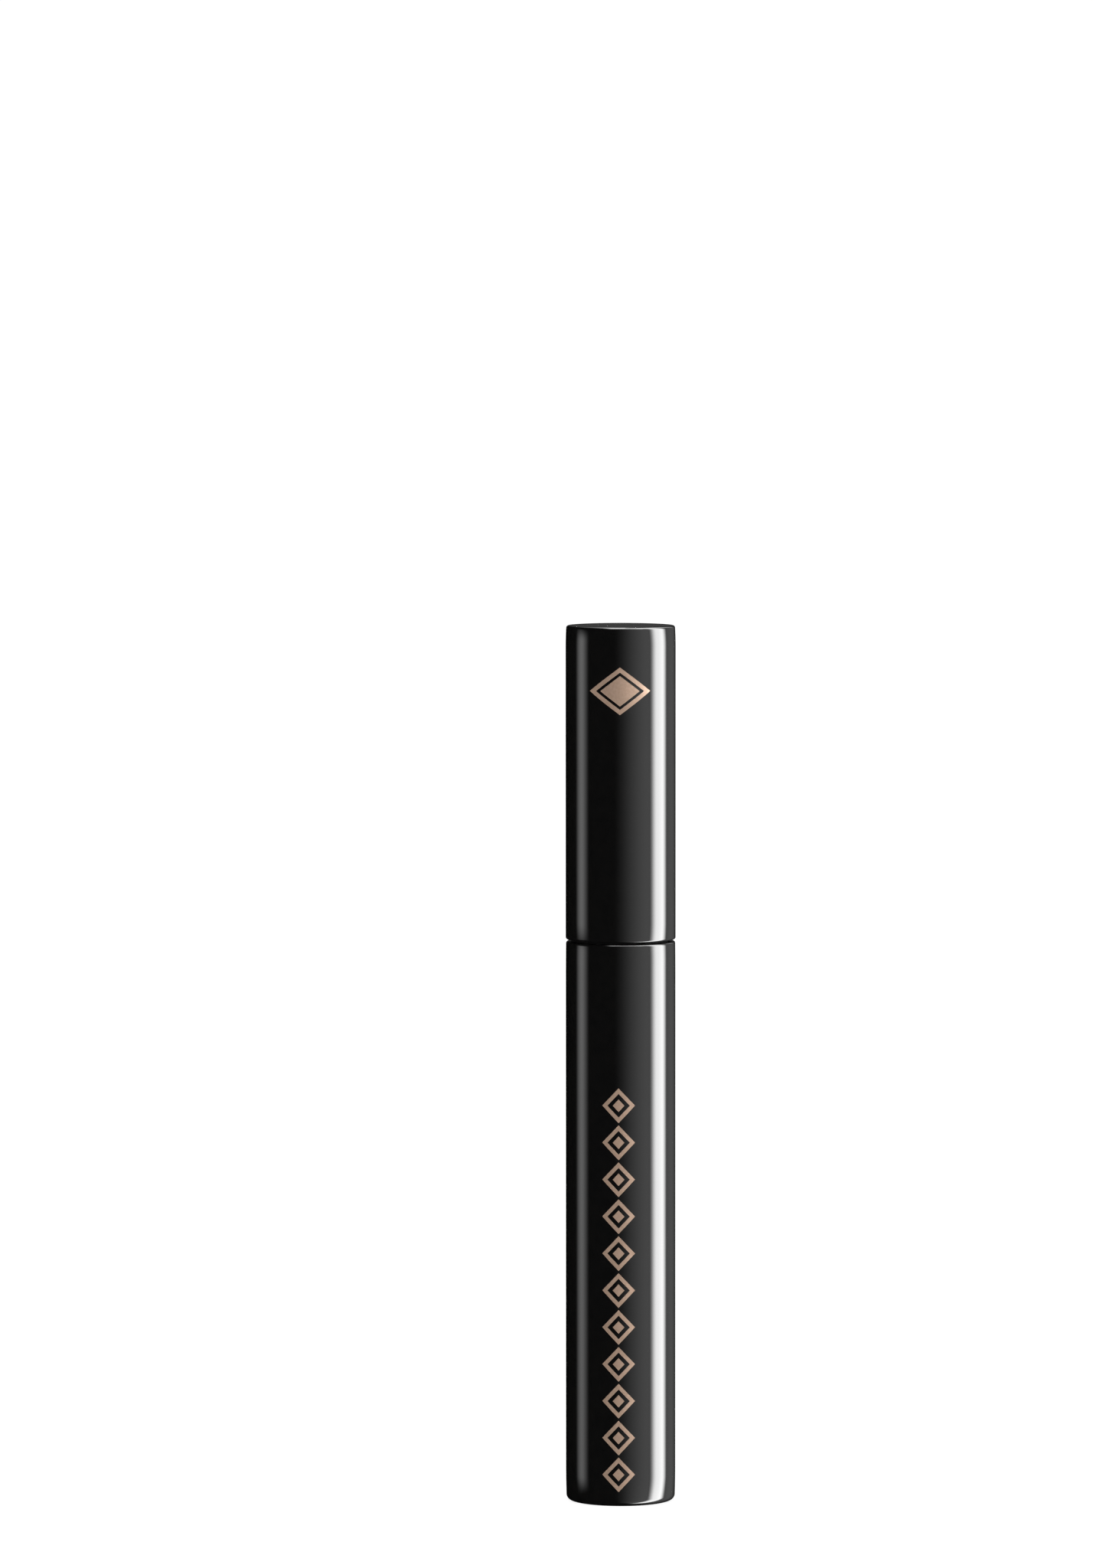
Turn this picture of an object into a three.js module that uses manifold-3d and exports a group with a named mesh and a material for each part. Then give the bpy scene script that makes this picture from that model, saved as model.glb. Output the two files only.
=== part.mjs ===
// A slim round mascara: a black bottle with a threaded neck and a wiper, closed by a long cap that
// carries the rod and the brush. Millimetres, +Z up. The origin is the middle of the base that the
// bottle stands on, and the cap is screwed down.
import * as THREE from "three";
import { mergeGeometries, mergeVertices } from "three/addons/utils/BufferGeometryUtils.js";
import { ParametricGeometry } from "three/addons/geometries/ParametricGeometry.js";
import Module from "manifold-3d";

// Driving dimensions
const tubeRadius = 8.0;
const totalHeight = 127.8;
const capLength = 45.7;
const rimGap = 0.25; // the dark line between the cap and the bottle
const neckHeight = 6.9; // above the bottle's shoulder
const rodRadius = 1.37;
const brushReach = 79.75; // from the cap's rim to the tip of the brush
const brushLength = 27.05;
const threadPitch = 2.0;

// Walls and clearances
const shellWall = 0.9;
const vialWall = 0.8;
const fitGap = 0.1; // between pieces pressed or slid into each other
const restGap = 0.05; // between faces that rest on each other

// Levels, from the base up
const capRimZ = totalHeight - capLength;
const shoulderZ = capRimZ - rimGap;
const neckTopZ = shoulderZ + neckHeight;
const brushTipZ = capRimZ - brushReach;
const brushTopZ = brushTipZ + brushLength;

// Facets
const outerSides = 48;
const innerSides = 32;
const rodSides = 24;
const coreSides = 20;
const threadStepsPerTurn = 24;

const wasm = await Module();
wasm.setup();

// ---------------------------------------------------------------- shape helpers

// Points of a round edge, as [radius, height] pairs, between two angles in degrees.
function arc(centreR, centreZ, radius, fromDeg, toDeg, steps) {
  const points = [];
  for (let i = 0; i <= steps; i++) {
    const angle = THREE.MathUtils.degToRad(fromDeg + ((toDeg - fromDeg) * i) / steps);
    points.push([centreR + radius * Math.cos(angle), centreZ + radius * Math.sin(angle)]);
  }
  return points;
}

// A solid of revolution about Z. The outline runs up the outside, and either starts and ends on the
// axis or is a ring's whole section, which is closed here.
function turned(outline, sides) {
  const points = outline.map(([radius, height]) => new THREE.Vector2(radius, height));
  const onAxis = outline[0][0] === 0 && outline[outline.length - 1][0] === 0;
  if (!onAxis) points.push(points[0].clone());
  return new THREE.LatheGeometry(points, sides).rotateX(Math.PI / 2);
}

// Triangles with shared corners merged, and those that have shrunk to a line left out.
function welded(geometry) {
  const plain = geometry.clone();
  plain.deleteAttribute("normal");
  plain.deleteAttribute("uv");
  const merged = mergeVertices(plain, 1e-4);
  const kept = [];
  for (let i = 0; i < merged.index.count; i += 3) {
    const corners = [0, 1, 2].map((k) => merged.index.getX(i + k));
    if (new Set(corners).size === 3) kept.push(...corners);
  }
  merged.setIndex(kept);
  return merged;
}

function toSolid(geometry) {
  const mesh = welded(geometry);
  return new wasm.Manifold(
    new wasm.Mesh({
      numProp: 3,
      vertProperties: Float32Array.from(mesh.attributes.position.array),
      triVerts: Uint32Array.from(mesh.index.array),
    }),
  );
}

function toGeometry(solid) {
  const mesh = solid.getMesh();
  const geometry = new THREE.BufferGeometry();
  geometry.setAttribute("position", new THREE.BufferAttribute(mesh.vertProperties, 3));
  geometry.setIndex(new THREE.BufferAttribute(mesh.triVerts, 1));
  geometry.computeVertexNormals();
  return geometry;
}

function joined(first, second) {
  return toGeometry(toSolid(first).add(toSolid(second)));
}

// ---------------------------------------------------------------- screw thread

const threadHeight = 0.55;
const threadRootHalf = 0.45; // half the ridge's thickness at its foot
const threadCrestHalf = 0.18;
const threadSink = 0.15; // how far the ridge's foot is buried in the wall it stands on
const threadFade = 0.18; // the share of its length over which each end of a ridge dies away

// A right-hand ridge on a wall of wallRadius, growing outwards (side 1) or inwards (side -1). It lies
// on the helix that passes +X at helixZ, between two numbers of turns from there.
function threadRidge(wallRadius, side, helixZ, fromTurn, toTurn) {
  const rootRadius = wallRadius - side * threadSink;
  const crestRadius = wallRadius + side * threadHeight;
  const section = [
    [rootRadius, -threadRootHalf],
    [crestRadius, -threadCrestHalf],
    [crestRadius, threadCrestHalf],
    [rootRadius, threadRootHalf],
  ];
  if (side < 0) section.reverse();
  const point = (along, around, target) => {
    const fromEnd = Math.min(along, 1 - along);
    const size = Math.min(1, fromEnd / threadFade);
    const [radius, height] = section[Math.round(around * section.length) % section.length];
    const turn = fromTurn + (toTurn - fromTurn) * along;
    const angle = turn * 2 * Math.PI;
    const faded = rootRadius + (radius - rootRadius) * size;
    const z = helixZ + turn * threadPitch + height * size;
    target.set(faded * Math.cos(angle), faded * Math.sin(angle), z);
  };
  const steps = Math.round((toTurn - fromTurn) * threadStepsPerTurn);
  return new ParametricGeometry(point, steps, section.length);
}

// ---------------------------------------------------------------- bottle

const baseRadius = 7.93;
const sleeveRadius = 7.98;
const baseEdge = 1.0;
const sleeveBase = 0.9;
const sleeveBore = sleeveRadius - shellWall;
const footInner = 5.2;
const baseRecess = 0.3;
const shoulderEdge = 0.35;
const shoulderRadius = 7.94;
const baseDrawLength = 12; // how far up the wall draws in towards the base
const shoulderDrawLength = 9; // and how far down from the shoulder

function bottleSleeve() {
  return turned(
    [
      [0, baseRecess],
      [footInner, baseRecess],
      [footInner + baseRecess, 0],
      ...arc(baseRadius - baseEdge, baseEdge, baseEdge, -90, 0, 4),
      [sleeveRadius, baseDrawLength],
      [sleeveRadius, shoulderZ - shoulderDrawLength],
      ...arc(shoulderRadius - shoulderEdge, shoulderZ - shoulderEdge, shoulderEdge, 0, 90, 3),
      [sleeveBore, shoulderZ],
      [sleeveBore, sleeveBase],
      [0, sleeveBase],
    ],
    outerSides,
  );
}

const vialRadius = sleeveBore - fitGap;
const vialBore = vialRadius - vialWall;
const vialFloor = 0.6;
const vialCorner = 0.6; // cut off the vial's bottom corner, inside and outside
const vialBottomZ = sleeveBase + restGap;
const neckRadius = 5.2;
const neckBore = 4.2;
const vialShoulderZ = 78.3; // where the vial starts to draw in to its neck
const neckFootZ = 80.3;
const coneDrop = 0.5; // the vial's shoulder is thicker than its wall by this much, measured along Z
const neckHelixZ = 84.0;
const neckThreadTurns = 1.6;

function innerVial() {
  const body = turned(
    [
      [0, vialBottomZ],
      [vialRadius - vialCorner, vialBottomZ],
      [vialRadius, vialBottomZ + vialCorner],
      [vialRadius, vialShoulderZ],
      [neckRadius, neckFootZ],
      [neckRadius, neckTopZ],
      [neckBore, neckTopZ],
      [neckBore, neckFootZ - coneDrop],
      [vialBore, vialShoulderZ - coneDrop],
      [vialBore, vialBottomZ + vialFloor + vialCorner],
      [vialBore - vialCorner, vialBottomZ + vialFloor],
      [0, vialBottomZ + vialFloor],
    ],
    innerSides,
  );
  return joined(body, threadRidge(neckRadius, 1, neckHelixZ, 0, neckThreadTurns));
}

const collarRadius = 6.96;
const collarPlay = 0.15; // round the neck
const collarRise = 0.8; // into the cap
const collarBore = neckRadius + collarPlay;
const collarTopZ = capRimZ + collarRise;
const collarChamfer = 0.2;
const collarRimLift = 0.4; // above the vial's shoulder, at its outside
const collarBoreLift = 0.25; // and at its bore

// The ring that holds the vial in the sleeve and centres the cap.
function neckCollar() {
  return turned(
    [
      [collarRadius, vialShoulderZ + collarRimLift],
      [collarRadius, collarTopZ - collarChamfer],
      [collarRadius - collarChamfer, collarTopZ],
      [collarBore, collarTopZ],
      [collarBore, neckFootZ + collarBoreLift],
    ],
    innerSides,
  );
}

const wiperFlange = 0.35;
const wiperPlay = 0.08; // in the neck
const wiperTubeLength = 6.6; // below the neck's top
const wiperConeLength = 2.8; // from the tube's end down to the lip
const wiperConeWall = 0.2; // how far the cone starts higher inside than outside
const lipPlay = 0.13; // round the rod
const wiperTopZ = neckTopZ + restGap + wiperFlange;
const wiperRadius = neckBore - wiperPlay;
const wiperBore = 3.45;
const wiperTubeEndZ = neckTopZ - wiperTubeLength;
const lipZ = wiperTubeEndZ - wiperConeLength;
const lipRadius = rodRadius + lipPlay;
const lipThickness = 0.4;

function wiper() {
  return turned(
    [
      [wiperRadius, neckTopZ + restGap],
      [neckRadius - restGap, neckTopZ + restGap],
      [neckRadius - restGap, wiperTopZ],
      [wiperBore, wiperTopZ],
      [wiperBore, wiperTubeEndZ + wiperConeWall],
      [lipRadius, lipZ + lipThickness],
      [lipRadius, lipZ],
      [lipRadius + lipThickness, lipZ],
      [wiperRadius, wiperTubeEndZ],
    ],
    innerSides,
  );
}

// ---------------------------------------------------------------- cap and applicator

const washerBottomZ = wiperTopZ + restGap;
const washerThickness = 0.9;
const washerBore = 2.0;
const washerRadius = 5.8;

function sealingWasher() {
  const topZ = washerBottomZ + washerThickness;
  return turned(
    [
      [washerRadius, washerBottomZ],
      [washerRadius, topZ],
      [washerBore, topZ],
      [washerBore, washerBottomZ],
    ],
    innerSides,
  );
}

const capTopWall = 1.2;
const capBore = 7.05;
const rimEdge = 0.35;
const lipEdge = 0.3;
const topEdge = 0.45;
const crownRadius = 7.91; // the cap draws in a little just under its top edge
const crownLength = 3.2;
const crownBulge = 0.06; // how far the middle of that draw lies outside its end
const boreCorner = 0.5;
const capCornerZ = totalHeight - capTopWall;

function outerCap() {
  return turned(
    [
      [0, capCornerZ],
      [capBore - boreCorner, capCornerZ],
      [capBore, capCornerZ - boreCorner],
      ...arc(capBore + lipEdge, capRimZ + lipEdge, lipEdge, 180, 270, 2),
      ...arc(tubeRadius - rimEdge, capRimZ + rimEdge, rimEdge, -90, 0, 3),
      [tubeRadius, totalHeight - crownLength],
      [crownRadius + crownBulge, totalHeight - crownLength / 2],
      ...arc(crownRadius - topEdge, totalHeight - topEdge, topEdge, 0, 90, 3),
      [0, totalHeight],
    ],
    outerSides,
  );
}

const insertRadius = capBore - fitGap;
const insertBore = 6.0;
const insertRimLift = 0.2; // above the collar
const insertRimZ = collarTopZ + insertRimLift;
const insertCeilingZ = washerBottomZ + washerThickness + fitGap;
const insertDeck = 1.3;
const insertDeckZ = insertCeilingZ + insertDeck;
const holderRadius = 3.6;
const holderLength = 10;
const holderTopZ = insertCeilingZ + holderLength;
const socketRadius = rodRadius + fitGap;
const headRadius = 2.1;
const socketLength = 6;
const headBottomZ = insertCeilingZ + socketLength;
const headHeight = 2.1;
const insertHelixZ = neckHelixZ - threadPitch / 2; // the cap's ridge runs midway between the neck's
const insertThreadFrom = 0.3;
const insertThreadTo = 1.55;

// The inner cap: a threaded cup for the neck, with a stem on top that grips the rod's head.
function capInsert() {
  const pocketTopZ = headBottomZ + headHeight + fitGap;
  const body = turned(
    [
      [0, pocketTopZ],
      [headRadius + fitGap, pocketTopZ],
      [headRadius + fitGap, headBottomZ - fitGap],
      [socketRadius, headBottomZ - fitGap],
      [socketRadius, insertCeilingZ],
      [insertBore, insertCeilingZ],
      [insertBore, insertRimZ],
      [insertRadius, insertRimZ],
      [insertRadius, insertDeckZ],
      [holderRadius, insertDeckZ],
      [holderRadius, holderTopZ],
      [0, holderTopZ],
    ],
    innerSides,
  );
  return joined(body, threadRidge(insertBore, -1, insertHelixZ, insertThreadFrom, insertThreadTo));
}

const stubRadius = 0.8;
const stubLength = 7.5;
const stubPlay = 0.3; // left above the brush's stub in the rod's bore
const rodBottomZ = brushTopZ + restGap;

function rod() {
  const boreTopZ = rodBottomZ + stubLength + stubPlay;
  const headTopZ = headBottomZ + headHeight;
  return turned(
    [
      [0, boreTopZ],
      [stubRadius + restGap, boreTopZ],
      [stubRadius + restGap, rodBottomZ],
      [rodRadius, rodBottomZ],
      [rodRadius, headBottomZ],
      [headRadius, headBottomZ],
      [headRadius, headBottomZ + headHeight / 2],
      [rodRadius, headTopZ],
      [0, headTopZ],
    ],
    rodSides,
  );
}

// ---------------------------------------------------------------- brush

const bodyRings = 14;
const bodyRingPitch = 1.32;
const tipRings = 8;
const tipRingPitch = 1.1;
const bristlesPerRing = 10;
const bristleFoot = 0.22;
const bristleSides = 4;
const bristleStart = 0.63; // its distance from the axis, inside the core
const brushRadius = 3.38;
const brushTipRadius = 2.37;
const firstRingDrop = 0.35; // from the brush's top to its first ring
const coreTipRadius = 0.9;
const coreTipHeight = 0.6; // of the tip's rounding
const coreNoseRadius = 0.54;
const coreNoseHeight = 0.15;
const coreTaperStart = 5.5; // above the tip

// Each ring's height, and how far its bristles reach from the axis.
function brushRings() {
  const rings = [];
  for (let i = 0; i < bodyRings; i++) {
    rings.push({ z: brushTopZ - firstRingDrop - i * bodyRingPitch, reach: brushRadius });
  }
  const lastBody = rings[bodyRings - 1].z;
  for (let i = 1; i <= tipRings; i++) {
    const reach = THREE.MathUtils.lerp(brushRadius, brushTipRadius, i / tipRings);
    rings.push({ z: lastBody - i * tipRingPitch, reach });
  }
  return rings;
}

function bristle(z, reach, angle) {
  const cone = new THREE.ConeGeometry(bristleFoot, reach - bristleStart, bristleSides);
  cone.translate(0, (reach + bristleStart) / 2, 0);
  cone.rotateZ(angle);
  cone.translate(0, 0, z);
  return cone;
}

function brush() {
  const core = turned(
    [
      [0, brushTipZ],
      [coreNoseRadius, brushTipZ + coreNoseHeight],
      [coreTipRadius, brushTipZ + coreTipHeight],
      [rodRadius, brushTipZ + coreTaperStart],
      [rodRadius, brushTopZ],
      [stubRadius, brushTopZ],
      [stubRadius, brushTopZ + stubLength],
      [0, brushTopZ + stubLength],
    ],
    coreSides,
  );
  const bristles = [];
  for (const { z, reach } of brushRings()) {
    for (let i = 0; i < bristlesPerRing; i++) {
      bristles.push(bristle(z, reach, ((i + 0.5) * 2 * Math.PI) / bristlesPerRing));
    }
  }
  return joined(core, mergeGeometries(bristles));
}

// ---------------------------------------------------------------- materials and assembly

const glossBlack = { color: 0x0b0b0b, roughness: 0.12, metalness: 0 };
const satinBlack = { color: 0x151515, roughness: 0.4, metalness: 0 };
const brushBlack = { color: 0x0e0e0e, roughness: 0.5, metalness: 0 };
const naturalWiper = { color: 0x2a2a2a, roughness: 0.55, metalness: 0 };
const foamWhite = { color: 0xdedbd4, roughness: 0.85, metalness: 0 };

const mascara = new THREE.Group();

function addPiece(name, geometry, look) {
  const mesh = new THREE.Mesh(geometry, new THREE.MeshStandardMaterial(look));
  mesh.name = name;
  mascara.add(mesh);
}

addPiece("bottle_sleeve", bottleSleeve(), glossBlack);
addPiece("inner_vial", innerVial(), satinBlack);
addPiece("neck_collar", neckCollar(), satinBlack);
addPiece("wiper", wiper(), naturalWiper);
addPiece("sealing_washer", sealingWasher(), foamWhite);
addPiece("outer_cap", outerCap(), glossBlack);
addPiece("cap_insert", capInsert(), satinBlack);
addPiece("rod", rod(), glossBlack);
addPiece("brush", brush(), brushBlack);

export default mascara;
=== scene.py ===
"""A slim gloss black mascara with a long cap, standing on a white studio floor.

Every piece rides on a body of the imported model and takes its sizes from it. Outlines are written in
millimetres, as (radius, height) pairs that run up the outside and down the inside, and are turned
about Z into metres.
"""
import math

import bmesh
import bpy
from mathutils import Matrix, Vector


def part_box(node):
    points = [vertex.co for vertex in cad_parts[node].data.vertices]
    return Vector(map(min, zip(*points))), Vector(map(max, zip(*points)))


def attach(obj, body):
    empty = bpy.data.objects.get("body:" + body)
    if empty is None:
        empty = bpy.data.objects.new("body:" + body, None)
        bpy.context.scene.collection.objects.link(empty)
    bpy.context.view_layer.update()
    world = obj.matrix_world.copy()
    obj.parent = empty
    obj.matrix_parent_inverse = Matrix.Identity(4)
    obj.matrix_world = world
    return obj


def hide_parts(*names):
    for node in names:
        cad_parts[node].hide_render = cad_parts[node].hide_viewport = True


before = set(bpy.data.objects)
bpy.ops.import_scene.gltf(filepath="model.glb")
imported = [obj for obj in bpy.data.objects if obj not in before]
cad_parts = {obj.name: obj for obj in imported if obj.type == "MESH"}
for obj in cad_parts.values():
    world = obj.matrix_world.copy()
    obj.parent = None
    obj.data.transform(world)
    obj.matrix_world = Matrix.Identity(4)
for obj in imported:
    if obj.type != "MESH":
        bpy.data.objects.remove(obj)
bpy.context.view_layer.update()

MM = 0.001


# ---------------------------------------------------------------- sizes read from the frame

def radius_of(node):
    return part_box(node)[1].x / MM


def bottom_of(node):
    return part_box(node)[0].z / MM


def top_of(node):
    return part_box(node)[1].z / MM


CAP_R = radius_of("outer_cap")
CAP_TOP = top_of("outer_cap")
RIM = bottom_of("outer_cap")
SLEEVE_R = radius_of("bottle_sleeve")
SHOULDER = top_of("bottle_sleeve")
VIAL_R = radius_of("inner_vial")
VIAL_BOTTOM = bottom_of("inner_vial")
NECK_TOP = top_of("inner_vial")
COLLAR_R = radius_of("neck_collar")
COLLAR_BOTTOM = bottom_of("neck_collar")
COLLAR_TOP = top_of("neck_collar")
WIPER_R = radius_of("wiper")
WIPER_BOTTOM = bottom_of("wiper")
WIPER_TOP = top_of("wiper")
WASHER_R = radius_of("sealing_washer")
WASHER_BOTTOM = bottom_of("sealing_washer")
WASHER_TOP = top_of("sealing_washer")
INSERT_R = radius_of("cap_insert")
INSERT_RIM = bottom_of("cap_insert")
INSERT_TOP = top_of("cap_insert")
ROD_BOTTOM = bottom_of("rod")
ROD_TOP = top_of("rod")
ROD_HEAD_R = radius_of("rod")
BRUSH_TIP = bottom_of("brush")
STUB_TOP = top_of("brush")

# Sizes that a box doesn't give
ROD_R = 1.37
ROD_HEAD = 2.1  # the length of the rod's head, which the insert grips
NECK_R = 5.2
NECK_BORE = 4.2
NECK_FOOT = 80.3
VIAL_SHOULDER = 78.3
THREAD_PITCH = 2.0
THREAD_HEIGHT = 0.55
NECK_HELIX = 84.0  # the height at which the neck's thread starts, at +X
FIT = 0.1  # the gap left between pieces that bear on each other
ON_AXIS = 1e-6  # a smaller radius than this counts as none
SHARP_ABOVE = 32.0  # degrees between two faces, from which the edge between them stays sharp

OUTER_SIDES = 256
INNER_SIDES = 128
FINE_SIDES = 64
THREAD_STEP = 0.06  # between the levels that the thread is raised on
EDGE_STEP = 0.15  # between the levels of a wall near its ends
PLAIN_STEP = 6.0  # and between those of its straight middle
PAST_EDGE = 1.15  # a wall's own levels start this many edge sizes from its end


# ---------------------------------------------------------------- outlines

EDGE_HOLD = 0.12  # how far outside an edge its holding points lie, as a share of the edge's radius


def rounded(corners, steps=8):
    """An outline from (radius, height) corners. A third number rounds the corner, to that radius."""
    outline = []
    for i, corner in enumerate(corners):
        if len(corner) == 2:
            outline.append(corner)
        else:
            outline += edge_arc(corners[i - 1], corner, corners[(i + 1) % len(corners)], steps)
    return outline


def edge_arc(before, corner, after, steps):
    """The points of one rounded corner, with a point just outside each end that keeps the flats flat."""
    r, z, size = corner
    to_before = unit(before[0] - r, before[1] - z)
    to_after = unit(after[0] - r, after[1] - z)
    half = math.acos(max(-1, min(1, to_before[0] * to_after[0] + to_before[1] * to_after[1]))) / 2
    reach = size / math.tan(half)
    middle = unit(to_before[0] + to_after[0], to_before[1] + to_after[1])
    centre = (r + middle[0] * size / math.sin(half), z + middle[1] * size / math.sin(half))
    start = (r + to_before[0] * reach - centre[0], z + to_before[1] * reach - centre[1])
    end = (r + to_after[0] * reach - centre[0], z + to_after[1] * reach - centre[1])
    sweep = math.pi - 2 * half
    if start[0] * end[1] - start[1] * end[0] < 0:
        sweep = -sweep
    hold = reach + size * EDGE_HOLD
    points = [(r + to_before[0] * hold, z + to_before[1] * hold)]
    for i in range(steps + 1):
        a = sweep * i / steps
        points.append((
            centre[0] + start[0] * math.cos(a) - start[1] * math.sin(a),
            centre[1] + start[0] * math.sin(a) + start[1] * math.cos(a),
        ))
    points.append((r + to_after[0] * hold, z + to_after[1] * hold))
    return points


def unit(x, y):
    length = math.hypot(x, y)
    return (x / length, y / length)


def draw_in(distance, length, amount):
    """How far a moulded wall falls in at a distance from its end, easing out to nothing."""
    return amount * max(0.0, 1 - distance / length) ** 2


def levels(low, high, step):
    """Heights from low to high, evenly spaced, both ends included."""
    count = max(1, round((high - low) / step))
    return [low + (high - low) * i / count for i in range(count + 1)]


# ---------------------------------------------------------------- meshes

def finished(name, bm):
    """Turns a bmesh in millimetres into an object in metres, smooth but for its sharp corners."""
    bmesh.ops.recalc_face_normals(bm, faces=bm.faces)
    bmesh.ops.scale(bm, vec=(MM, MM, MM), verts=bm.verts)
    mesh = bpy.data.meshes.new(name)
    bm.to_mesh(mesh)
    bm.free()
    mesh.shade_smooth()
    mesh.set_sharp_from_angle(angle=math.radians(SHARP_ABOVE))
    piece = bpy.data.objects.new(name, mesh)
    bpy.context.scene.collection.objects.link(piece)
    return piece


def turned(bm, outline, sides):
    """Adds a solid of revolution about Z. The outline ends on the axis at both ends, or is the closed
    section of a ring."""
    rows = []
    for r, z in outline:
        if r < ON_AXIS:
            rows.append([bm.verts.new((0, 0, z))] * sides)
        else:
            angles = [2 * math.pi * i / sides for i in range(sides)]
            rows.append([bm.verts.new((r * math.cos(a), r * math.sin(a), z)) for a in angles])
    on_axis = outline[0][0] < ON_AXIS
    for i in range(len(rows) - 1 if on_axis else len(rows)):
        lower, upper = rows[i], rows[(i + 1) % len(rows)]
        for j in range(sides):
            k = (j + 1) % sides
            corners = [lower[j], lower[k], upper[k], upper[j]]
            corners = [v for n, v in enumerate(corners) if v not in corners[:n]]
            bm.faces.new(corners)
    return bm


def turned_piece(name, outline, sides):
    return finished(name, turned(bmesh.new(), outline, sides))


LEAST_OUTWARDS = 0.02  # flats and bores face outwards less than this, and keep their own normals


def lean_sheen(piece, low, low_lean, high, high_lean):
    """Leans the surface normals of an outer wall over near its two ends, down at the low one and up at the
    high one, so that its reflections run softly into the rounded edges. A lean is a length and an angle."""
    normals = []
    for v in piece.data.vertices:
        r, z = math.hypot(v.co.x, v.co.y), v.co.z / MM
        outwards = (v.normal.x * v.co.x + v.normal.y * v.co.y) / r if r > 0 else 0
        if outwards < LEAST_OUTWARDS:
            normals.append(v.normal.copy())
            continue
        tilt = math.atan2(v.normal.z, outwards)
        lean = -lean_at(z - low, *low_lean) + lean_at(high - z, *high_lean)
        tilt += lean * (1 - abs(tilt) / (math.pi / 2))
        normals.append((v.co.x / r * math.cos(tilt), v.co.y / r * math.cos(tilt), math.sin(tilt)))
    piece.data.normals_split_custom_set_from_vertices(normals)


def lean_at(distance, length, angle):
    return angle * max(0.0, min(1.0, 1 - distance / length))


THREAD_ROOT_HALF = 0.47  # half the ridge's thickness at its foot
THREAD_CREST_HALF = 0.16
THREAD_FADE = 0.18  # the share of its length over which each end of a ridge dies away
ON_WALL = 1e-3  # a vertex this close to a wall's radius lies on it


def raise_thread(bm, wall, side, helix, from_turn, to_turn):
    """Raises a right-hand screw ridge on the part of a bmesh that lies on a wall of that radius. It
    passes +X at the height helix, and runs between two numbers of turns from there. side is 1 for
    outwards and -1 for inwards."""
    for v in bm.verts:
        r = math.hypot(v.co.x, v.co.y)
        if abs(r - wall) > ON_WALL:
            continue
        around = math.atan2(v.co.y, v.co.x) / (2 * math.pi) % 1
        rise = 0.0
        for whole in range(-1, 3):
            turn = around + whole
            along = (turn - from_turn) / (to_turn - from_turn)
            if 0 < along < 1:
                rise = max(rise, ridge_height(v.co.z - helix - turn * THREAD_PITCH, along))
        scale = (r + side * rise) / r
        v.co.x *= scale
        v.co.y *= scale


def ridge_height(offset, along):
    """The thread's height at a distance from its middle line, and at a share of the way along it."""
    size = min(1.0, min(along, 1 - along) / THREAD_FADE)
    flank = (THREAD_ROOT_HALF * size - abs(offset)) / ((THREAD_ROOT_HALF - THREAD_CREST_HALF) * size)
    flank = max(0.0, min(1.0, flank))
    return THREAD_HEIGHT * size * flank * flank * (3 - 2 * flank)


# ---------------------------------------------------------------- bottle

BASE_EDGE = 0.85
BASE_DRAW = (5.0, 0.09)  # length and amount by which the wall falls in at the base
BASE_LEAN = (4.0, 0.3)  # length and angle, in radians, by which its sheen leans over there
SHOULDER_EDGE = 0.32
SHOULDER_DRAW = (5.0, 0.035)
SHOULDER_LEAN = (3.4, 0.17)


def sleeve_wall(z):
    """The radius of the bottle's outer wall at a height."""
    return SLEEVE_R - draw_in(z, *BASE_DRAW) - draw_in(SHOULDER - z, *SHOULDER_DRAW)


def bottle_sleeve():
    """The outer casing, with a foot ring round a shallow recess."""
    wall_thickness, floor = 0.9, 0.9
    bore = SLEEVE_R - wall_thickness
    foot, recess = 5.2, 0.3
    base_step = 0.2
    low, high = BASE_EDGE * PAST_EDGE, SHOULDER - SHOULDER_EDGE * PAST_EDGE
    heights = levels(low, BASE_DRAW[0], base_step)[1:]
    heights += levels(BASE_DRAW[0], SHOULDER - SHOULDER_DRAW[0], PLAIN_STEP)[1:]
    heights += levels(SHOULDER - SHOULDER_DRAW[0], high, EDGE_STEP)[1:-1]
    wall = [(sleeve_wall(z), z) for z in heights]
    outline = rounded([
        (0, recess),
        (foot, recess, 0.12),
        (foot + recess, 0, 0.12),
        (sleeve_wall(0), 0, BASE_EDGE),
        *wall,
        (sleeve_wall(SHOULDER), SHOULDER, SHOULDER_EDGE),
        (bore, SHOULDER, 0.05),
        (bore, floor, 0.4),
        (0, floor),
    ])
    piece = turned_piece("sleeve_shell", outline, OUTER_SIDES)
    lean_sheen(piece, 0, BASE_LEAN, SHOULDER, SHOULDER_LEAN)
    return placed(piece, "bottle", "bottle_sleeve", "gloss_black")


NECK_THREAD_TURNS = (0, 1.6)


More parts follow.
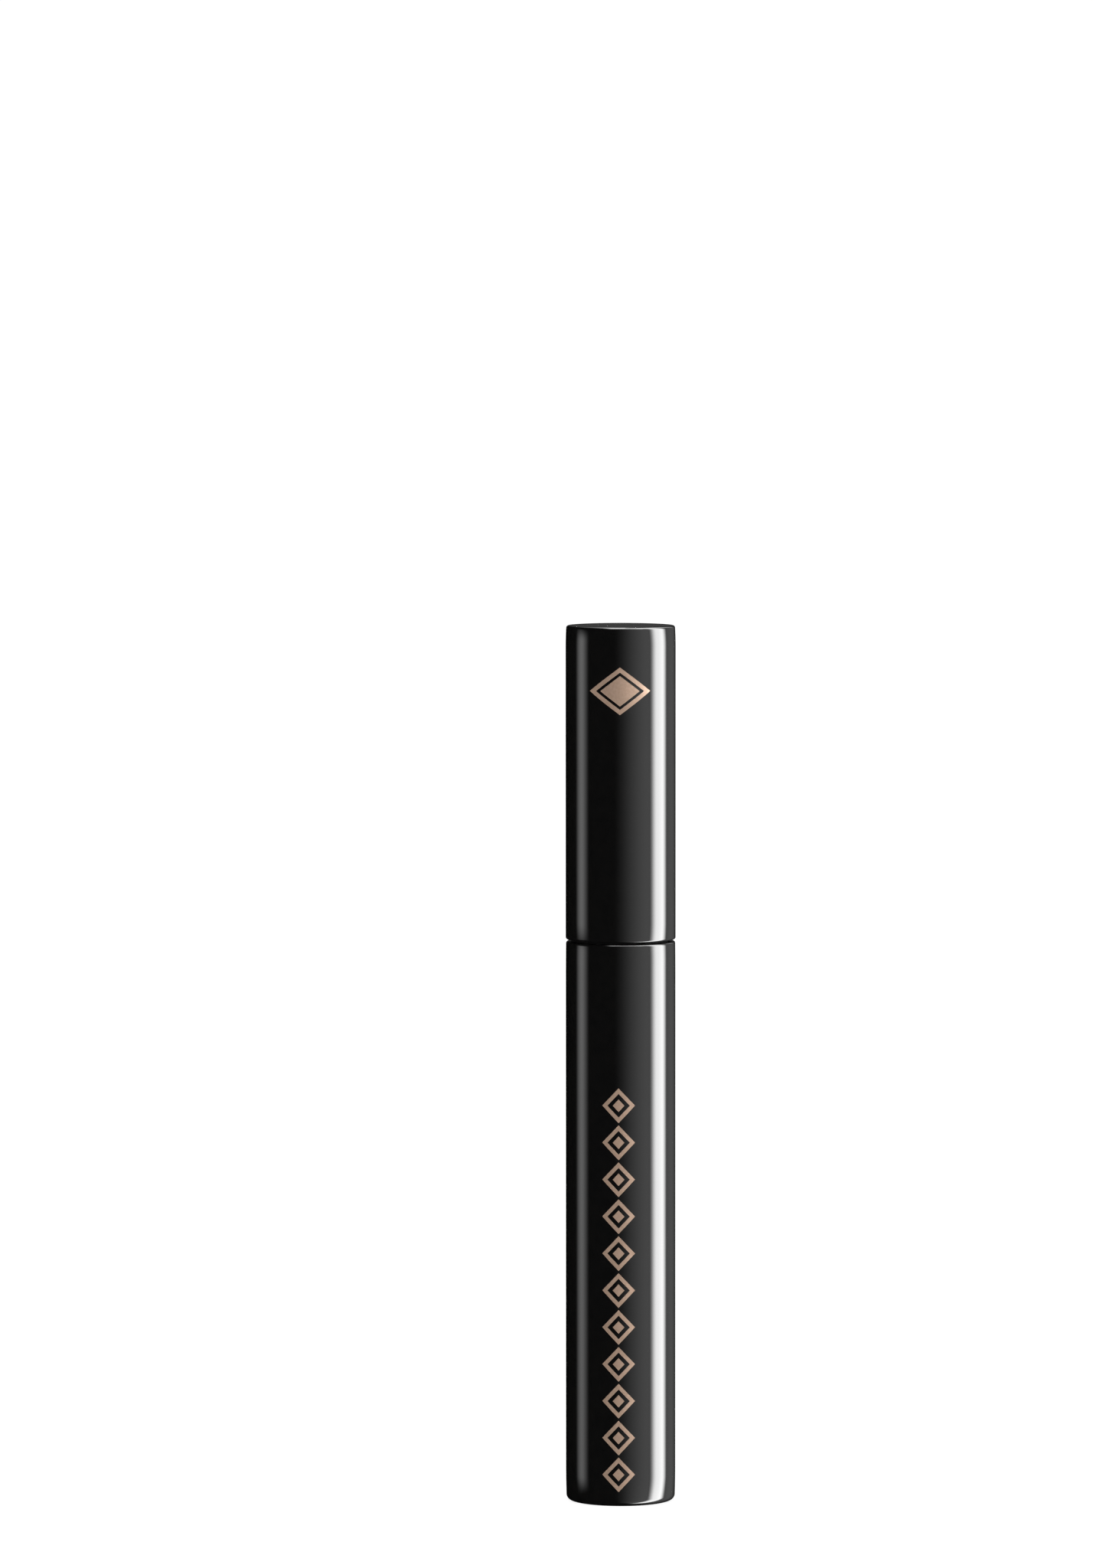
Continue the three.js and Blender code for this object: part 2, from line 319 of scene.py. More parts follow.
def inner_vial():
    """The vial that holds the mascara, with its threaded neck."""
    wall, floor, cone = 0.8, 0.6, 0.5
    above_foot, below_top = 0.5, 0.3
    threaded = levels(NECK_FOOT + above_foot, NECK_TOP - below_top, THREAD_STEP)
    outline = rounded([
        (0, VIAL_BOTTOM),
        (VIAL_R, VIAL_BOTTOM, 0.8),
        (VIAL_R, VIAL_SHOULDER, 0.5),
        (NECK_R, NECK_FOOT, 0.3),
        *[(NECK_R, z) for z in threaded],
        (NECK_R, NECK_TOP, 0.15),
        (NECK_BORE, NECK_TOP, 0.15),
        (NECK_BORE, NECK_FOOT - cone, 0.3),
        (VIAL_R - wall, VIAL_SHOULDER - cone, 0.4),
        (VIAL_R - wall, VIAL_BOTTOM + floor, 0.6),
        (0, VIAL_BOTTOM + floor),
    ])
    bm = turned(bmesh.new(), outline, INNER_SIDES)
    raise_thread(bm, NECK_R, 1, NECK_HELIX, *NECK_THREAD_TURNS)
    return placed(finished("vial_body", bm), "bottle", "inner_vial", "satin_black")


def neck_collar():
    """The dark ring in the groove, which stands on the vial's shoulder."""
    play, lift = 0.15, 0.25  # round the neck, and above its foot
    bore = NECK_R + play
    outline = rounded([
        (COLLAR_R, COLLAR_BOTTOM, 0.1),
        (COLLAR_R, COLLAR_TOP, 0.2),
        (bore, COLLAR_TOP, 0.1),
        (bore, NECK_FOOT + lift, 0.08),
    ])
    piece = turned_piece("collar_ring", outline, INNER_SIDES)
    return placed(piece, "bottle", "neck_collar", "satin_black")


def wiper():
    """The soft insert in the neck, with a flange above and a lip round the rod below."""
    tube_play, tube_length, cone_wall, lip_play = 0.08, 6.6, 0.2, 0.13
    tube, bore, flange = NECK_BORE - tube_play, 3.45, 0.35
    tube_end = NECK_TOP - tube_length
    lip, lip_wall = ROD_R + lip_play, 0.4
    outline = rounded([
        (tube, WIPER_TOP - flange, 0.05),
        (WIPER_R, WIPER_TOP - flange, 0.1),
        (WIPER_R, WIPER_TOP, 0.12),
        (bore, WIPER_TOP, 0.25),
        (bore, tube_end + cone_wall, 0.5),
        (lip, WIPER_BOTTOM + lip_wall, 0.15),
        (lip, WIPER_BOTTOM, 0.08),
        (lip + lip_wall, WIPER_BOTTOM, 0.08),
        (tube, tube_end, 0.5),
    ])
    piece = turned_piece("wiper_insert", outline, INNER_SIDES)
    return placed(piece, "bottle", "wiper", "wiper_grey")


# ---------------------------------------------------------------- washer, cap and applicator

def sealing_washer():
    bore, edge = 2.0, 0.12
    outline = rounded([
        (WASHER_R, WASHER_BOTTOM, edge),
        (WASHER_R, WASHER_TOP, edge),
        (bore, WASHER_TOP, edge),
        (bore, WASHER_BOTTOM, edge),
    ])
    piece = turned_piece("washer_ring", outline, INNER_SIDES)
    return placed(piece, "washer", "sealing_washer", "washer_foam")


CROWN_EDGE = 0.36
CROWN_DRAW = (3.2, 0.1)  # lengths, amounts and angles as for the bottle
CROWN_LEAN = (3.4, 0.19)
RIM_EDGE = 0.3
RIM_LEAN = (2.6, 0.17)


def cap_wall(z):
    """The radius of the cap's outer wall at a height."""
    return CAP_R - draw_in(CAP_TOP - z, *CROWN_DRAW)


def outer_cap():
    """The cap's shell."""
    bore, top_wall = 7.05, 1.2
    ceiling = CAP_TOP - top_wall
    low, high = RIM + RIM_EDGE * PAST_EDGE, CAP_TOP - CROWN_EDGE * PAST_EDGE
    heights = levels(low, RIM + RIM_LEAN[0], EDGE_STEP)[1:]
    heights += levels(RIM + RIM_LEAN[0], CAP_TOP - CROWN_LEAN[0], PLAIN_STEP)[1:]
    heights += levels(CAP_TOP - CROWN_LEAN[0], high, EDGE_STEP)[1:-1]
    wall = [(cap_wall(z), z) for z in heights]
    outline = rounded([
        (0, ceiling),
        (bore, ceiling, 0.5),
        (bore, RIM, 0.3),
        (cap_wall(RIM), RIM, RIM_EDGE),
        *wall,
        (cap_wall(CAP_TOP), CAP_TOP, CROWN_EDGE),
        (0, CAP_TOP),
    ])
    piece = turned_piece("cap_shell", outline, OUTER_SIDES)
    lean_sheen(piece, RIM, RIM_LEAN, CAP_TOP, CROWN_LEAN)
    return placed(piece, "applicator", "outer_cap", "gloss_black")


INSERT_THREAD_TURNS = (0.3, 1.55)


def cap_insert():
    """The threaded inner cap, with the stem on top that grips the rod. Its ridge runs midway between
    the turns of the neck's."""
    bore, holder, deck_wall, thread_inset = 6.0, 3.6, 1.3, 0.4
    ceiling = WASHER_TOP + FIT
    deck = ceiling + deck_wall
    socket, pocket = ROD_R + FIT, ROD_HEAD_R + FIT
    pocket_top, pocket_bottom = ROD_TOP + FIT, ROD_TOP - ROD_HEAD - FIT
    threaded = levels(INSERT_RIM + thread_inset, ceiling - thread_inset, THREAD_STEP)[::-1]
    outline = rounded([
        (0, pocket_top),
        (pocket, pocket_top, 0.15),
        (pocket, pocket_bottom, 0.1),
        (socket, pocket_bottom, 0.1),
        (socket, ceiling, 0.1),
        (bore, ceiling, 0.2),
        *[(bore, z) for z in threaded],
        (bore, INSERT_RIM, 0.15),
        (INSERT_R, INSERT_RIM, 0.25),
        (INSERT_R, deck, 0.3),
        (holder, deck, 0.3),
        (holder, INSERT_TOP, 0.3),
        (0, INSERT_TOP),
    ])
    bm = turned(bmesh.new(), outline, INNER_SIDES)
    raise_thread(bm, bore, -1, NECK_HELIX - THREAD_PITCH / 2, *INSERT_THREAD_TURNS)
    return placed(finished("insert_cup", bm), "applicator", "cap_insert", "satin_black")


def rod():
    """The rod, with a bore below for the brush's stub and a tapered head above."""
    bore, stub_play = 0.85, 0.35
    bore_top = STUB_TOP + stub_play
    head_bottom = ROD_TOP - ROD_HEAD
    outline = rounded([
        (0, bore_top),
        (bore, bore_top, 0.1),
        (bore, ROD_BOTTOM, 0.08),
        (ROD_R, ROD_BOTTOM, 0.12),
        (ROD_R, head_bottom, 0.1),
        (ROD_HEAD_R, head_bottom, 0.15),
        (ROD_HEAD_R, head_bottom + ROD_HEAD / 2, 0.3),
        (ROD_R, ROD_TOP, 0.2),
        (0, ROD_TOP),
    ])
    piece = turned_piece("rod_stem", outline, FINE_SIDES)
    return placed(piece, "rod", "rod", "rod_black")


# ---------------------------------------------------------------- brush

BRUSH_LENGTH = 27.05  # without its stub
BRUSH_TOP = BRUSH_TIP + BRUSH_LENGTH
FIRST_RING_DROP = 0.35
BRISTLES_PER_RING = 10
LONG_REACH, SHORT_REACH = 3.38, 2.98
LONG_TIP_REACH, SHORT_TIP_REACH = 2.37, 2.14
BODY_RINGS, BODY_PITCH = 28, 0.66
TIP_RINGS, TIP_PITCH = 16, 0.55
BRISTLE_FOOT_R, BRISTLE_TIP_R = 0.2, 0.045
BRISTLE_SIDES = 8
BRISTLE_ROUND = (0.3, 0.7)  # how far before its end the round tip starts, and how wide, in tip radii
BRISTLE_SHAPE = (  # shares of its length and of its foot's radius: a flare in the core, then a long taper
    (-0.25, 1.8), (0.03, 1.4), (0.12, 1.05), (0.4, 0.7), (0.75, 0.4), (0.95, 0.27),
)
CORE_TIP_R = 0.9
CORE_TAPER_START, CORE_TAPER = 5.5, 4.9  # the taper's start above the tip, and its length


def brush_rings():
    """Each ring's height, reach and turn, in steps between bristles. Long and short rings take turns, and
    both draw in towards the tip."""
    top = BRUSH_TOP - FIRST_RING_DROP
    rings = []
    for i in range(BODY_RINGS + TIP_RINGS):
        is_long = i % 2 == 0
        beyond = max(0, i - BODY_RINGS + 1)
        z = top - min(i, BODY_RINGS - 1) * BODY_PITCH - beyond * TIP_PITCH
        full, tip = (LONG_REACH, LONG_TIP_REACH) if is_long else (SHORT_REACH, SHORT_TIP_REACH)
        rings.append((z, full + (tip - full) * beyond / TIP_RINGS, 0.5 if is_long else 0.0))
    return rings


def core_radius(z):
    """The radius of the brush's core at a height. It tapers towards the tip."""
    share = max(0.0, min(1.0, (BRUSH_TIP + CORE_TAPER_START - z) / CORE_TAPER))
    return ROD_R + (CORE_TIP_R - ROD_R) * share


def bristle(bm, z, reach, angle):
    """A tapered moulded bristle that flares where it leaves the core and ends in a small round tip."""
    foot = core_radius(z)
    length = reach - foot
    rows = [(foot + along * length, BRISTLE_FOOT_R * width) for along, width in BRISTLE_SHAPE]
    rows.append((reach - BRISTLE_TIP_R * BRISTLE_ROUND[0], BRISTLE_TIP_R * BRISTLE_ROUND[1]))
    across = (-math.sin(angle), math.cos(angle))
    rings = []
    for r, width in rows:
        ring = []
        for i in range(BRISTLE_SIDES):
            a = 2 * math.pi * i / BRISTLE_SIDES
            side, up = width * math.cos(a), width * math.sin(a)
            ring.append(bm.verts.new((
                r * math.cos(angle) + side * across[0],
                r * math.sin(angle) + side * across[1],
                z + up,
            )))
        rings.append(ring)
    for lower, upper in zip(rings, rings[1:]):
        for j in range(BRISTLE_SIDES):
            k = (j + 1) % BRISTLE_SIDES
            bm.faces.new([lower[j], lower[k], upper[k], upper[j]])
    bm.faces.new(rings[0][::-1])
    tip = bm.verts.new((reach * math.cos(angle), reach * math.sin(angle), z))
    for j in range(BRISTLE_SIDES):
        bm.faces.new([rings[-1][j], rings[-1][(j + 1) % BRISTLE_SIDES], tip])


def brush():
    """The brush: a core that tapers to a blunt nose, its bristles, and the stub that holds it in the rod."""
    stub, nose, nose_lift, nose_height = 0.8, 0.78, 0.05, 0.6
    taper_end, taper_step = 6.0, 0.4
    tapered = levels(BRUSH_TIP + 2 * nose_height, BRUSH_TIP + taper_end, taper_step)
    outline = rounded([
        (0, BRUSH_TIP),
        (nose, BRUSH_TIP + nose_lift, 0.4),
        (core_radius(BRUSH_TIP + nose_height), BRUSH_TIP + nose_height, 0.3),
        *[(core_radius(z), z) for z in tapered],
        (ROD_R, BRUSH_TOP, 0.12),
        (stub, BRUSH_TOP, 0.05),
        (stub, STUB_TOP, 0.15),
        (0, STUB_TOP),
    ])
    bm = turned(bmesh.new(), outline, FINE_SIDES)
    for z, reach, offset in brush_rings():
        for i in range(BRISTLES_PER_RING):
            bristle(bm, z, reach, 2 * math.pi * (i + offset) / BRISTLES_PER_RING)
    return placed(finished("brush_head", bm), "applicator", "brush", "brush_black")


# ---------------------------------------------------------------- foil ornament

FOIL_LIFT = 0.003
FOIL_THICKNESS = 0.018
FOIL_GRAIN = 0.3  # the longest edge of a foil facet, so that it follows the wall


def lozenge(middle, half_wide, half_high, inner=0.0):
    """Loops of (across, up) points, from a lozenge's outline to an inner one of that share of its size,
    or to its middle."""
    side = math.hypot(half_wide, half_high)
    per_side = max(2, math.ceil(side / FOIL_GRAIN))
    corners = [(half_wide, 0), (0, half_high), (-half_wide, 0), (0, -half_high)]
    outline = []
    for (ax, ay), (bx, by) in zip(corners, corners[1:] + corners[:1]):
        for i in range(per_side):
            t = i / per_side
            outline.append((ax + (bx - ax) * t, ay + (by - ay) * t))
    depth = max(2, math.ceil((1 - inner) * half_wide / FOIL_GRAIN))
    loops = []
    for i in range(depth + 1):
        share = 1 + (inner - 1) * i / depth
        loops.append([(middle[0] + x * share, middle[1] + y * share) for x, y in outline])
    return loops


def on_wall(bm, point, wall, lift):
    """A vertex at an (across, up) point, wrapped round the front of a wall and lifted off it."""
    across, z = point
    r = wall(z) + lift
    angle = across / wall(z)
    return bm.verts.new((r * math.sin(angle), -r * math.cos(angle), z))


def bridge(bm, ring, next_ring):
    """Joins two rings of vertices with faces. A ring may be one vertex repeated."""
    for j in range(len(ring)):
        k = (j + 1) % len(ring)
        corners = [ring[j], ring[k], next_ring[k], next_ring[j]]
        bm.faces.new([v for n, v in enumerate(corners) if v not in corners[:n]])


def foil_plate(bm, loops, wall):
    """A thin closed plate wrapped round a wall, between the first and the last of its loops."""
    count = len(loops[0])
    is_open = math.dist(loops[-1][0], loops[-1][count // 2]) > ON_AXIS
    skins = []
    for lift in (FOIL_LIFT, FOIL_LIFT + FOIL_THICKNESS):
        skin = [[on_wall(bm, p, wall, lift) for p in loop] for loop in (loops if is_open else loops[:-1])]
        if not is_open:
            skin.append([on_wall(bm, loops[-1][0], wall, lift)] * count)
        skins.append(skin)
    for skin in skins:
        for ring, next_ring in zip(skin, skin[1:]):
            bridge(bm, ring, next_ring)
    for edge in ((0, -1) if is_open else (0,)):
        bridge(bm, skins[0][edge], skins[1][edge])


def cap_emblem():
    """A plain badge near the top of the cap: a lozenge frame round a solid lozenge."""
    across, below_top = -0.1, 9.2
    frame_wide, frame_high, frame_inner = 4.6, 3.45, 0.78
    solid_wide, solid_high = 2.9, 2.2
    middle = (across, CAP_TOP - below_top)
    bm = bmesh.new()
    foil_plate(bm, lozenge(middle, frame_wide, frame_high, frame_inner), cap_wall)
    foil_plate(bm, lozenge(middle, solid_wide, solid_high), cap_wall)
    return placed(finished("cap_emblem", bm), "applicator", None, "rose_foil")


def bottle_ornament():
    """A chain up the front of the bottle, of lozenge frames round small solid ones."""
    low, high, across, count = 2.0, 61.2, -0.3, 11
    frame_wide, frame_share, frame_inner = 2.4, 0.47, 0.68
    solid_wide, solid_share = 0.85, 0.17
    pitch = (high - low) / count
    bm = bmesh.new()
    for i in range(count):
        centre = (across, low + pitch * (i + 0.5))
        foil_plate(bm, lozenge(centre, frame_wide, pitch * frame_share, frame_inner), sleeve_wall)
        foil_plate(bm, lozenge(centre, solid_wide, pitch * solid_share), sleeve_wall)
    return placed(finished("bottle_ornament", bm), "bottle", None, "rose_foil")


# ---------------------------------------------------------------- materials

def material(name, colour, roughness, specular=0.5, metallic=0.0):
    """A principled material and its shader."""
    mat = bpy.data.materials.new(name)
    mat.use_nodes = True
    shader = mat.node_tree.nodes["Principled BSDF"]
    shader.inputs["Base Color"].default_value = (*colour, 1)
    shader.inputs["Roughness"].default_value = roughness
    shader.inputs["Specular IOR Level"].default_value = specular
    shader.inputs["Metallic"].default_value = metallic
    return mat, shader


def add(mat, kind, **values):
    """Adds a node, and sets its sockets or its properties by name."""
    node = mat.node_tree.nodes.new(kind)
    for name, value in values.items():
        if name in node.inputs:
            node.inputs[name].default_value = value
        else:
            setattr(node, name, value)
    return node


def join(mat, source, target):
    mat.node_tree.links.new(source, target)


def noise(mat, size_mm, detail=3.0, stretch=(1, 1, 1)):
    """Noise with features of about size_mm on the piece itself."""
    place = add(mat, "ShaderNodeTexCoord")
    mapping = add(mat, "ShaderNodeMapping", Scale=stretch)
    texture = add(mat, "ShaderNodeTexNoise", Scale=1 / (size_mm * MM), Detail=detail)
    join(mat, place.outputs["Object"], mapping.inputs["Vector"])
    join(mat, mapping.outputs["Vector"], texture.inputs["Vector"])
    return texture.outputs["Fac"]


NOISE_SPREAD = (0.3, 0.7)  # between these values of a noise the roughness goes from low to high
NOISE_BLEND = (0.35, 0.65)  # and the colour


def vary_roughness(mat, shader, source, low, high):
    """Lets the roughness wander between two values with a noise."""
    spread = add(mat, "ShaderNodeMapRange")
    spread.inputs["From Min"].default_value = NOISE_SPREAD[0]
    spread.inputs["From Max"].default_value = NOISE_SPREAD[1]
    spread.inputs["To Min"].default_value = low
    spread.inputs["To Max"].default_value = high
    join(mat, source, spread.inputs["Value"])
    join(mat, spread.outputs["Result"], shader.inputs["Roughness"])


def vary_colour(mat, shader, source, low, high):
    """Lets the colour wander between two values with a noise."""
    ramp = add(mat, "ShaderNodeValToRGB")
    ramp.color_ramp.elements[0].position = NOISE_BLEND[0]
    ramp.color_ramp.elements[0].color = (*low, 1)
    ramp.color_ramp.elements[1].position = NOISE_BLEND[1]
    ramp.color_ramp.elements[1].color = (*high, 1)
    join(mat, source, ramp.inputs["Fac"])
    join(mat, ramp.outputs["Color"], shader.inputs["Base Color"])


def bump(mat, shader, source, height_mm):
    """Adds relief of that height to the surface."""
    node = add(mat, "ShaderNodeBump", Strength=1.0, Distance=height_mm * MM)
    join(mat, source, node.inputs["Height"])
    join(mat, node.outputs["Normal"], shader.inputs["Normal"])


def gloss_black():
    """Injection-moulded gloss lacquer: near-black, with a trace of unevenness in its polish."""
    mat, shader = material("gloss_black_finish", (0.0035, 0.0035, 0.0035), roughness=0.06)
    vary_colour(mat, shader, noise(mat, size_mm=1.5), (0.0032, 0.0032, 0.0032), (0.0039, 0.0038, 0.0037))
    vary_roughness(mat, shader, noise(mat, size_mm=0.6, stretch=(1, 1, 0.3)), 0.05, 0.07)
    bump(mat, shader, noise(mat, size_mm=3.0, detail=1.0), height_mm=0.00025)
    return mat


def satin_black():
    """Moulded polypropylene with a fine satin grain."""
    mat, shader = material("satin_black_finish", (0.012, 0.012, 0.012), roughness=0.7, specular=0.06)
    vary_colour(mat, shader, noise(mat, size_mm=0.8), (0.011, 0.011, 0.011), (0.014, 0.014, 0.0135))
    vary_roughness(mat, shader, noise(mat, size_mm=0.25), 0.62, 0.78)
    bump(mat, shader, noise(mat, size_mm=0.08, detail=4.0), height_mm=0.004)
    return mat


def wiper_grey():
    """Soft grey-black elastomer."""
    mat, shader = material("wiper_grey_finish", (0.03, 0.03, 0.03), roughness=0.5, specular=0.4)
    vary_colour(mat, shader, noise(mat, size_mm=0.5), (0.024, 0.024, 0.024), (0.036, 0.035, 0.034))
    vary_roughness(mat, shader, noise(mat, size_mm=0.2), 0.42, 0.6)
    bump(mat, shader, noise(mat, size_mm=0.06, detail=4.0), height_mm=0.004)
    return mat


def washer_foam():
    """White closed-cell foam with fine cells."""
    mat, shader = material("washer_foam_finish", (0.72, 0.7, 0.65), roughness=0.85, specular=0.25)
    place = add(mat, "ShaderNodeTexCoord")
    cell_mm = 0.12
    cells = add(mat, "ShaderNodeTexVoronoi", Scale=1 / (cell_mm * MM))
    join(mat, place.outputs["Object"], cells.inputs["Vector"])
    vary_colour(mat, shader, cells.outputs["Distance"], (0.74, 0.72, 0.67), (0.62, 0.6, 0.55))
    vary_roughness(mat, shader, noise(mat, size_mm=0.2), 0.78, 0.92)
    bump(mat, shader, cells.outputs["Distance"], height_mm=0.02)
    return mat


def rod_black():
    """The rod's polished, harder plastic."""
    mat, shader = material("rod_black_finish", (0.006, 0.006, 0.006), roughness=0.04, specular=0.7)
    vary_colour(mat, shader, noise(mat, size_mm=1.0), (0.0055, 0.0055, 0.0055), (0.007, 0.007, 0.007))
    vary_roughness(mat, shader, noise(mat, size_mm=0.4, stretch=(1, 1, 0.2)), 0.03, 0.055)
    bump(mat, shader, noise(mat, size_mm=2.0, detail=1.0), height_mm=0.0002)
    return mat


def brush_black():
    """Moulded elastomer of the bristles, between satin and gloss."""
    mat, shader = material("brush_black_finish", (0.004, 0.004, 0.004), roughness=0.4, specular=0.35)
    vary_colour(mat, shader, noise(mat, size_mm=0.5), (0.0035, 0.0035, 0.0035), (0.006, 0.006, 0.006))
    vary_roughness(mat, shader, noise(mat, size_mm=0.15), 0.33, 0.47)
    bump(mat, shader, noise(mat, size_mm=0.05), height_mm=0.002)
    return mat


def rose_foil():
    """Hot-stamped rose foil, softly brushed by the stamp."""
    mat, shader = material("rose_foil_finish", (0.45, 0.31, 0.23), roughness=0.4, metallic=0.5)
    vary_colour(mat, shader, noise(mat, size_mm=0.4), (0.43, 0.295, 0.215), (0.48, 0.335, 0.25))
    vary_roughness(mat, shader, noise(mat, size_mm=0.1), 0.36, 0.46)
    bump(mat, shader, noise(mat, size_mm=0.05, detail=4.0), height_mm=0.0006)
    return mat


FINISHES = {
    "gloss_black": gloss_black(),
    "satin_black": satin_black(),
    "wiper_grey": wiper_grey(),
    "washer_foam": washer_foam(),
    "rod_black": rod_black(),
    "brush_black": brush_black(),
    "rose_foil": rose_foil(),
}


def placed(piece, body, node, slot):
    """Gives a piece its finish and its body, and hides the CAD node that it stands for."""
    piece.data.materials.append(FINISHES[slot])
    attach(piece, body)
    if node:
        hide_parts(node)
    return piece


# ---------------------------------------------------------------- studio

class WorldGraph:
    """Short names for building the studio's light from the direction a ray leaves in."""

    def __init__(self, world):
        self.tree = world.node_tree
        self.tree.nodes.clear()
        coordinates = self.new("ShaderNodeTexCoord")
        split = self.new("ShaderNodeSeparateXYZ")
        self.link(coordinates.outputs["Generated"], split.inputs[0])
        forward = self.math("MULTIPLY", split.outputs["Y"], -1.0)
        to_degrees = 180 / math.pi
        self.sideways = split.outputs["X"]
        self.forward = forward
        self.azimuth = self.math("MULTIPLY", self.math("ARCTAN2", split.outputs["X"], forward), to_degrees)
        self.elevation = self.math("MULTIPLY", self.math("ARCSINE", split.outputs["Z"]), to_degrees)

    def new(self, kind):
        return self.tree.nodes.new(kind)

    def link(self, source, target):
        self.tree.links.new(source, target)

    def math(self, operation, first, second=None):
        node = self.new("ShaderNodeMath")
        node.operation = operation
        for socket, value in zip(node.inputs, (first, second)):
            if isinstance(value, (int, float)):
                socket.default_value = value
            elif value is not None:
                self.link(value, socket)
        return node.outputs[0]

    def ease(self, value, start, end, low=0.0, high=1.0):
        """Goes smoothly from low to high while value goes from start to end."""
        node = self.new("ShaderNodeMapRange")
        node.interpolation_type = "SMOOTHSTEP"
        self.link(value, node.inputs["Value"])
        node.inputs["From Min"].default_value = start
        node.inputs["From Max"].default_value = end
        node.inputs["To Min"].default_value = low
        node.inputs["To Max"].default_value = high
        return node.outputs["Result"]

    def band(self, value, rise, fall):
        """1 between the two soft edges, 0 beyond them. An edge is the two values it goes between."""
        up = self.ease(value, *rise)
        down = self.ease(value, *fall, 1.0, 0.0)
        return self.math("MULTIPLY", up, down)

    def panel(self, radiance, azimuth, elevation):
        """A soft light between pairs of soft edges in azimuth and in elevation."""
        shape = self.math(
            "MULTIPLY",
            self.band(self.azimuth, *azimuth),
            self.band(self.elevation, *elevation),
        )
        return self.math("MULTIPLY", shape, radiance)

    def overhead(self, radiance, sideways, forward):
        """A soft light overhead, between soft edges across the studio and along it."""
        full_above = 20  # degrees of elevation
        across = self.band(self.sideways, *sideways)
        raised = self.ease(self.elevation, 0, full_above)
        along = self.math("MULTIPLY", self.band(self.forward, *forward), raised)
        return self.math("MULTIPLY", self.math("MULTIPLY", across, along), radiance)

    def behind(self, radiance):
        """The dim far end of the studio, above the floor."""
        far_edge = (-0.94, -0.99)
        full_above = 2  # degrees of elevation
        shape = self.math(
            "MULTIPLY",
            self.ease(self.forward, *far_edge),
            self.ease(self.elevation, 0, full_above),
        )
        return self.math("MULTIPLY", shape, radiance)


ROOM_LIGHT = 1.05  # the even white that everything but a reflection sees


def studio_light():
    """Soft strip panels round a white studio, which only reflections see. Azimuth 0 is towards the camera,
    and 90 to its right. Each light says its radiance and then its soft edges, in degrees or, overhead,
    in parts of the direction's length."""
    world = bpy.data.worlds.new("studio")
    world.use_nodes = True
    world.cycles.sampling_method = "NONE"
    bpy.context.scene.world = world
    graph = WorldGraph(world)
    tall, low = ((-85, -60), (40, 70)), ((-25, -2), (4.8, 17.6))
    main_strip = graph.panel(17.0, ((63, 82), (97, 114)), tall)
    left_strip = graph.panel(2.25, ((-110, -90), (-90, -69)), low)
    front_wash = graph.panel(1.33, ((-16, 60), (60, 75)), tall)
    edge_wash = graph.panel(0.7, ((96, 112), (112, 171)), tall)
    far_end = graph.behind(0.06)
    top_light = graph.overhead(14.0, ((-0.36, -0.16), (0.5, 0.65)), ((-0.95, 0.1), (0.3, 0.5)))
    total = main_strip
    for light in (left_strip, front_wash, edge_wash, far_end, top_light):
        total = graph.math("ADD", total, light)
    seen = graph.new("ShaderNodeLightPath")
    mirrored = graph.new("ShaderNodeBackground")
    mirrored.inputs["Color"].default_value = (1, 1, 1, 1)
    graph.link(total, mirrored.inputs["Strength"])
    around = graph.new("ShaderNodeBackground")
    around.inputs["Color"].default_value = (1, 1, 1, 1)
    around.inputs["Strength"].default_value = ROOM_LIGHT
    mix = graph.new("ShaderNodeMixShader")
    graph.link(seen.outputs["Is Glossy Ray"], mix.inputs[0])
    graph.link(around.outputs[0], mix.inputs[1])
    graph.link(mirrored.outputs[0], mix.inputs[2])
    graph.link(mix.outputs[0], graph.new("ShaderNodeOutputWorld").inputs["Surface"])


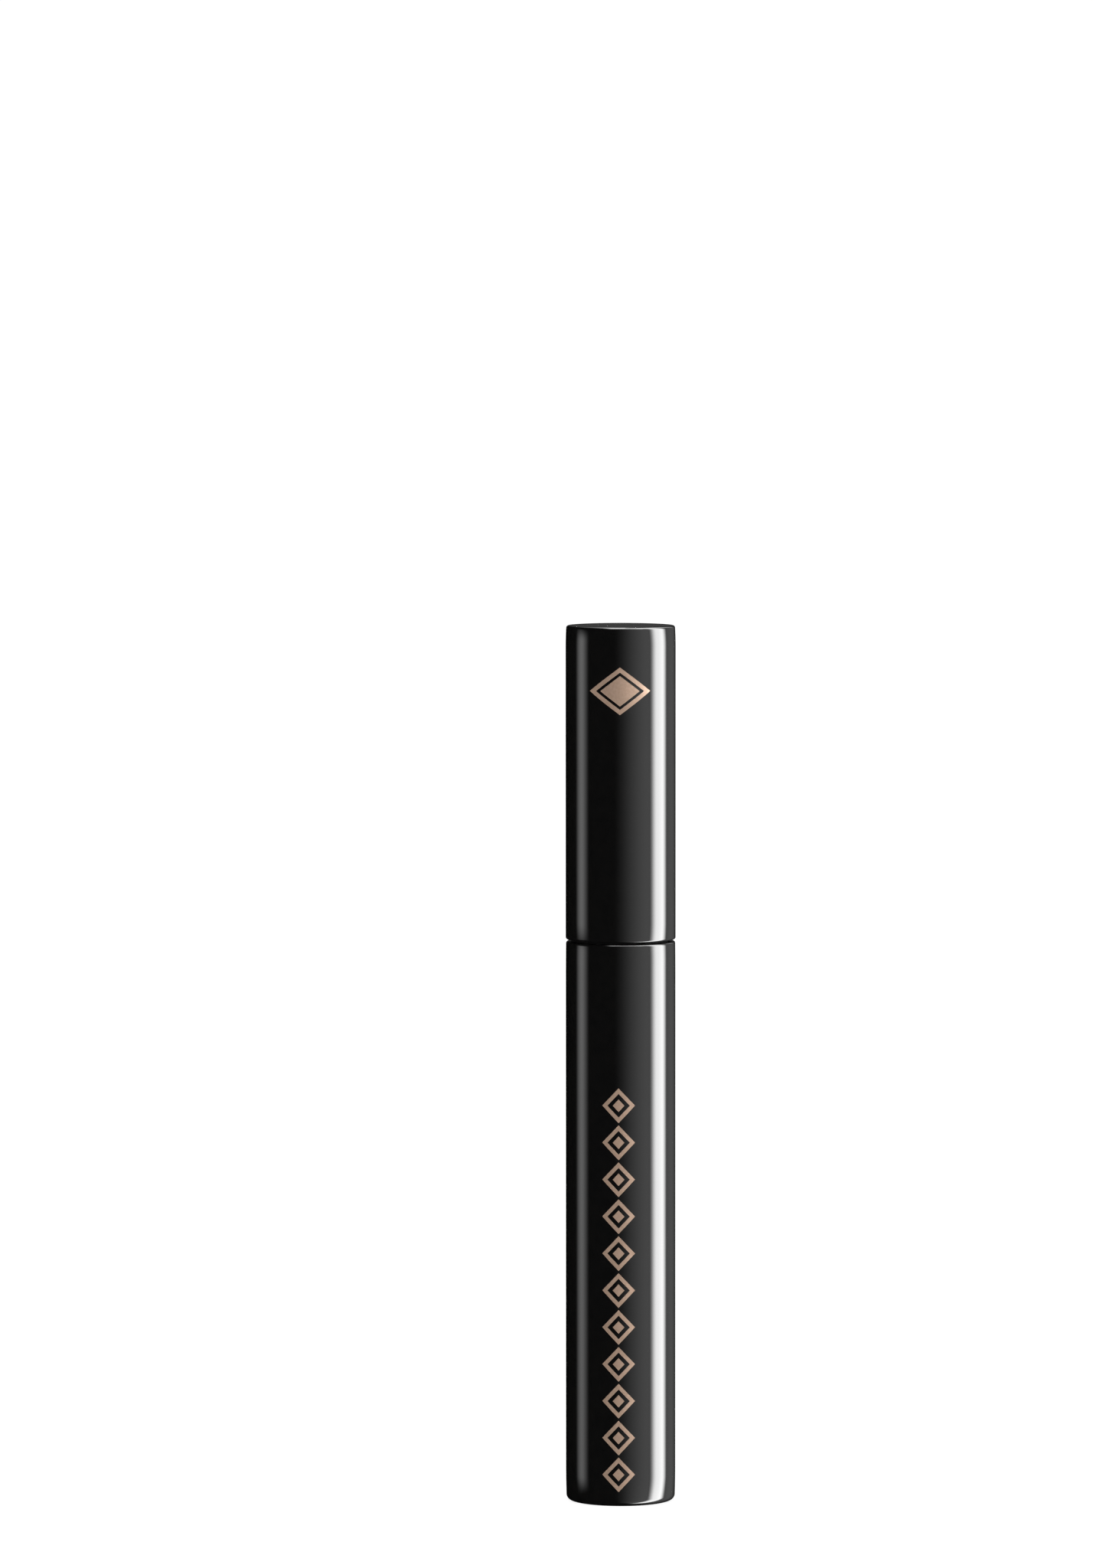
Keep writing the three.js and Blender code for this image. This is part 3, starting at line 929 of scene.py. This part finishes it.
def flat_stage(name, corners, colour, glow):
    """A flat four-cornered piece of the studio, with its own glow."""
    mesh = bpy.data.meshes.new(name)
    mesh.from_pydata(corners, [], [(0, 1, 2, 3)])
    plane = bpy.data.objects.new(name, mesh)
    bpy.context.scene.collection.objects.link(plane)
    mat, shader = material(f"{name}_matte", colour, roughness=0.9, specular=0.0)
    shader.inputs["Emission Color"].default_value = (1, 1, 1, 1)
    shader.inputs["Emission Strength"].default_value = glow
    plane.data.materials.append(mat)
    return plane


def floor():
    """A wide floor, kept white mostly by its own glow, so that the bottle leaves only a faint shade."""
    half, low = 3.0, -0.00002  # metres
    grey, glow = 0.2, 0.88
    corners = [(-half, -half, low), (half, -half, low), (half, half, low), (-half, half, low)]
    plane = flat_stage("floor", corners, (grey, grey, grey), glow)
    plane.visible_glossy = False


def flag():
    """A dark card close behind the tube's right side, seen only in reflections. It keeps the strong panel
    off the tube's back, where its glare would hide the edge against the white."""
    across, front, back = 9.5 * MM, 3.0 * MM, 60.0 * MM
    low, high = -60.0 * MM, 260.0 * MM
    glow = 0.06
    corners = [(across, front, low), (across, back, low), (across, back, high), (across, front, high)]
    card = flat_stage("flag", corners, (0.0, 0.0, 0.0), glow)
    card.visible_camera = False
    card.visible_diffuse = False
    card.visible_shadow = False
    card.visible_transmission = False


def camera():
    """A long lens a little above the object, with the tube right of the middle of the frame."""
    distance, height, pitch = 1286.3 * MM, 186.0 * MM, 3.617
    lens, sensor, sideways_shift = 203.56, 36.0, -0.0473
    data = bpy.data.cameras.new("camera")
    data.lens = lens
    data.sensor_width = sensor
    data.shift_x = sideways_shift
    data.clip_start, data.clip_end = 0.01, 20.0
    eye = bpy.data.objects.new("camera", data)
    eye.location = (0, -distance, height)
    eye.rotation_euler = (math.radians(90 - pitch), 0, 0)
    bpy.context.scene.collection.objects.link(eye)
    bpy.context.scene.camera = eye


camera()
studio_light()
bpy.context.scene.view_settings.view_transform = "Standard"
floor()
flag()
bottle_sleeve()
inner_vial()
neck_collar()
wiper()
sealing_washer()
outer_cap()
cap_insert()
rod()
brush()
cap_emblem()
bottle_ornament()

bpy.context.view_layer.update()
